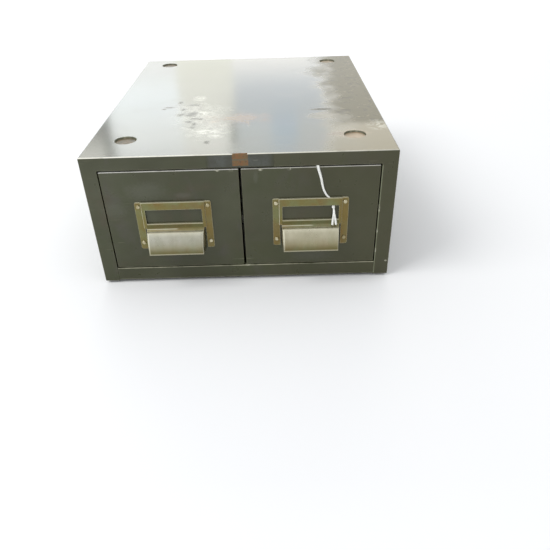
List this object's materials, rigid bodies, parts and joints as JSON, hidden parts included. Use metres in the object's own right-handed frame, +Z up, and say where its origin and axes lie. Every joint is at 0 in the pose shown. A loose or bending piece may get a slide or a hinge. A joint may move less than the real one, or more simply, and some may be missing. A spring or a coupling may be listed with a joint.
{
  "type": "card index cabinet",
  "caption": "Low steel desktop cabinet with side-by-side sliding drawers for index cards, riveted brass label holders with cup pulls, and stacking feet.",
  "frame": {"origin": "middle of the footprint at the bottom of the feet, with the pulls counted in the depth", "axes": "+X to the user's right as they face the drawers, -Y out of the drawer fronts, +Z up"},
  "size_m": [0.365, 0.474, 0.1715],
  "materials": {
    "case_enamel": "worn semi-gloss olive enamel",
    "inner_enamel": "satin olive enamel",
    "follower_enamel": "satin olive enamel",
    "brass": "worn lacquered brass plate",
    "rivet_brass": "polished by wear",
    "runner_steel": "dull rolled steel",
    "plated_steel": "zinc plate",
    "rubber": "matte",
    "foil": "worn plain transfer",
    "string": "twisted cotton"
  },
  "bodies": {
    "case": {"back_panel": "case_enamel", "base_panel": "case_enamel", "bottom_rail": "case_enamel", "case_wrap": "case_enamel", "centre_partition": "inner_enamel", "foot_front_left": "rubber", "foot_front_right": "rubber", "foot_rear_left": "rubber", "foot_rear_right": "rubber", "foot_rivets": "runner_steel", "rail_foil": "foil", "rear_bumpers": "rubber", "left_inner_runner": "runner_steel", "left_outer_runner": "runner_steel", "left_runner_brackets": "runner_steel", "left_stop_angle": "inner_enamel", "right_inner_runner": "runner_steel", "right_outer_runner": "runner_steel", "right_runner_brackets": "runner_steel", "right_stop_angle": "inner_enamel"},
    "left_drawer": {"left_drawer_front": "case_enamel", "left_drawer_liner": "inner_enamel", "left_tray": "inner_enamel", "left_tray_back": "inner_enamel", "left_outer_strip": "runner_steel", "left_inner_strip": "runner_steel", "left_label_pull": "brass", "left_pull_rivets": "rivet_brass", "left_follower_track": "plated_steel"},
    "left_follower": {"left_follower_plate": "follower_enamel", "left_follower_shoe": "follower_enamel", "left_catch_pin": "plated_steel", "left_catch_spring": "plated_steel"},
    "left_catch": {"left_catch_lever": "plated_steel"},
    "right_drawer": {"right_drawer_front": "case_enamel", "right_drawer_liner": "inner_enamel", "right_tray": "inner_enamel", "right_tray_back": "inner_enamel", "right_outer_strip": "runner_steel", "right_inner_strip": "runner_steel", "right_label_pull": "brass", "right_pull_rivets": "rivet_brass", "right_follower_track": "plated_steel", "tag_string": "string", "string_knot": "string"},
    "right_follower": {"right_follower_plate": "follower_enamel", "right_follower_shoe": "follower_enamel", "right_catch_pin": "plated_steel", "right_catch_spring": "plated_steel"},
    "right_catch": {"right_catch_lever": "plated_steel"}
  },
  "joints": [
    {"name": "left_drawer_slide", "type": "slide", "parent": "case", "child": "left_drawer", "axis": [0, -1, 0], "range_m": [0, 0.34]},
    {"name": "left_follower_slide", "type": "slide", "parent": "left_drawer", "child": "left_follower", "axis": [0, -1, 0], "range_m": [-0.028, 0.3]},
    {"name": "left_catch_hinge", "type": "hinge", "parent": "left_follower", "child": "left_catch", "pos_m": [-0.08215, 0.152, 0.041], "axis": [-1, 0, 0], "range_deg": [0, 14], "stiffness_Nm_per_rad": 0.15, "springref_deg": -17.19, "deforming": ["left_catch_spring"]},
    {"name": "right_drawer_slide", "type": "slide", "parent": "case", "child": "right_drawer", "axis": [0, -1, 0], "range_m": [0, 0.34]},
    {"name": "right_follower_slide", "type": "slide", "parent": "right_drawer", "child": "right_follower", "axis": [0, -1, 0], "range_m": [-0.028, 0.3]},
    {"name": "right_catch_hinge", "type": "hinge", "parent": "right_follower", "child": "right_catch", "pos_m": [0.08215, 0.152, 0.041], "axis": [-1, 0, 0], "range_deg": [0, 14], "stiffness_Nm_per_rad": 0.15, "springref_deg": -17.19, "deforming": ["right_catch_spring"]}
  ]
}
